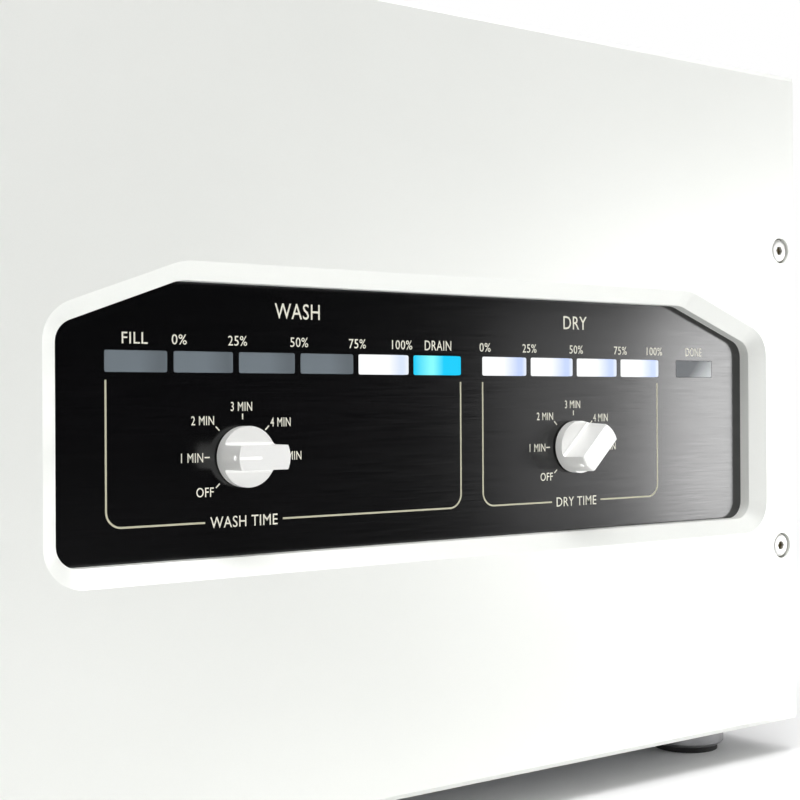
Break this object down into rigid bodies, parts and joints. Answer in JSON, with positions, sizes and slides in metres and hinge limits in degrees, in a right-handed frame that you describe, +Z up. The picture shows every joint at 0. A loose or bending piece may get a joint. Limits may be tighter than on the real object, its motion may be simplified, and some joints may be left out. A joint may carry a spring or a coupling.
{
  "type": "record cleaning machine",
  "caption": "Free-standing ultrasonic vinyl record washer and dryer: a record stands in its top slot above a thick front plate with a recessed panel, two dials and a row of indicator lamps.",
  "frame": {"origin": "middle of the whole machine's footprint, on the table under its feet", "axes": "+X to the machine's right as seen from the front, +Y to the back, +Z up; the front plate faces -Y"},
  "size_m": [0.4394, 0.2566, 0.3476],
  "materials": {
    "front_metal": "bead-blasted and clear anodised, satin",
    "case_metal": "fine black powder coat",
    "plain_aluminium": "plain, satin",
    "base_metal": "zinc-plated sheet",
    "foot_metal": "turned and anodised",
    "soft_rubber": "matt",
    "screw_steel": "bright stainless",
    "panel_black": "black anodised with a fine horizontal brush",
    "panel_print": "cream screen print, matt",
    "pointer_paint": "white paint in an engraved line",
    "lens_unlit": "smoked translucent, unlit",
    "lens_lit_white": "translucent, lit white",
    "lens_lit_blue": "translucent, lit blue",
    "knob_metal": "turned, satin anodised",
    "white_plastic": "moulded, matt",
    "grey_plastic": "moulded, matt",
    "black_plastic": "moulded, fine texture",
    "gloss_black": "moulded, gloss",
    "circuit_board": "solder mask, satin",
    "tank_steel": "brushed stainless",
    "motor_metal": "plated can",
    "cage_steel": "zinc-plated cage",
    "hose_clear": "silicone hose",
    "valve_brass": "machined brass",
    "lever_steel": "red-coated steel"
  },
  "bodies": {
    "case": {"front_plate": "front_metal", "corner_rails": "plain_aluminium", "left_side_panel": "case_metal", "right_side_panel": "case_metal", "rear_panel": "case_metal", "top_cover": "case_metal", "base_plate": "base_metal", "slot_bezel": "black_plastic", "slot_lips": "soft_rubber", "foot_cups": "foot_metal", "foot_pads": "soft_rubber", "front_screws": "screw_steel", "case_screws": "screw_steel", "control_panel": "panel_black", "wash_lenses": "lens_unlit", "dry_lenses": "lens_unlit", "lamp_baffle": "white_plastic", "display_board": "circuit_board", "indicator_lamps": "lens_lit_white", "panel_screws": "screw_steel", "wash_switch": "grey_plastic", "dry_switch": "grey_plastic", "shelf": "base_metal", "shelf_posts": "plain_aluminium", "wash_tank": "tank_steel", "shaft_seal": "black_plastic", "idler_axle": "tank_steel", "drive_belt": "soft_rubber", "motor_bracket": "base_metal", "drive_motor": "motor_metal", "transducers": "plain_aluminium", "air_knives": "plain_aluminium", "air_duct": "black_plastic", "blower_housing": "black_plastic", "blower_motor": "motor_metal", "reservoir": "white_plastic", "filler_neck": "white_plastic", "tank_drain": "motor_metal", "wash_pump": "grey_plastic", "fill_hose": "hose_clear", "drain_valve": "valve_brass", "power_inlet": "black_plastic", "power_supply": "cage_steel", "generator_board": "circuit_board", "fan_frame": "black_plastic"},
    "wash_control": {"wash_knob": "knob_metal", "wash_shaft": "plain_aluminium"},
    "dry_control": {"dry_knob": "knob_metal", "dry_shaft": "plain_aluminium"},
    "drive_roller": {"drive_tyre": "soft_rubber", "drive_shaft": "tank_steel", "drive_pulley": "plain_aluminium"},
    "idler_roller": {"idler_tyre": "soft_rubber", "idler_hub": "white_plastic"},
    "motor_output": {"motor_pulley": "plain_aluminium"},
    "blower_rotor": {"blower_wheel": "grey_plastic"},
    "cooling_rotor": {"fan_rotor": "black_plastic"},
    "filler_closure": {"filler_cap": "black_plastic"},
    "drain_handle": {"drain_lever": "lever_steel"},
    "mains_rocker": {"power_rocker": "gloss_black"}
  },
  "joints": [
    {"name": "wash_knob_turn", "type": "hinge", "parent": "case", "child": "wash_control", "pos_m": [-0.0945, -0.11075, 0.1563], "axis": [0, 1, 0], "range_deg": [-45, 180]},
    {"name": "dry_knob_turn", "type": "hinge", "parent": "case", "child": "dry_control", "pos_m": [0.0765, -0.11075, 0.1563], "axis": [0, 1, 0], "range_deg": [0, 225]},
    {"name": "drive_roller_spin", "type": "hinge", "parent": "case", "child": "drive_roller", "pos_m": [0.12349, -0.03575, 0.25138], "axis": [0, 1, 0], "continuous": true},
    {"name": "motor_pulley_spin", "type": "hinge", "parent": "case", "child": "motor_output", "pos_m": [0.12349, -0.01075, 0.2084], "axis": [0, 1, 0], "continuous": true},
    {"name": "idler_roller_spin", "type": "hinge", "parent": "case", "child": "idler_roller", "pos_m": [-0.12349, -0.03575, 0.25138], "axis": [0, 1, 0], "continuous": true},
    {"name": "blower_spin", "type": "hinge", "parent": "case", "child": "blower_rotor", "pos_m": [0.1796, -0.00775, 0.076], "axis": [1, 0, 0], "continuous": true},
    {"name": "cooling_fan_spin", "type": "hinge", "parent": "case", "child": "cooling_rotor", "pos_m": [0.06, 0.07075, 0.27], "axis": [0, 1, 0], "continuous": true},
    {"name": "filler_cap_turn", "type": "hinge", "parent": "case", "child": "filler_closure", "pos_m": [-0.118, 0.01925, 0.34], "axis": [0, 0, 1], "range_deg": [0, 90]},
    {"name": "drain_lever_turn", "type": "hinge", "parent": "case", "child": "drain_handle", "pos_m": [0.045, 0.09925, 0.056], "axis": [0, 0, 1], "range_deg": [0, 90]},
    {"name": "mains_rocker_tilt", "type": "hinge", "parent": "case", "child": "mains_rocker", "pos_m": [-0.1172, 0.08225, 0.06], "axis": [1, 0, 0], "range_deg": [-20, 0]}
  ],
  "couplings": [
    {"joint": "motor_pulley_spin", "follows": "drive_roller_spin", "ratio": 1.4667}
  ]
}
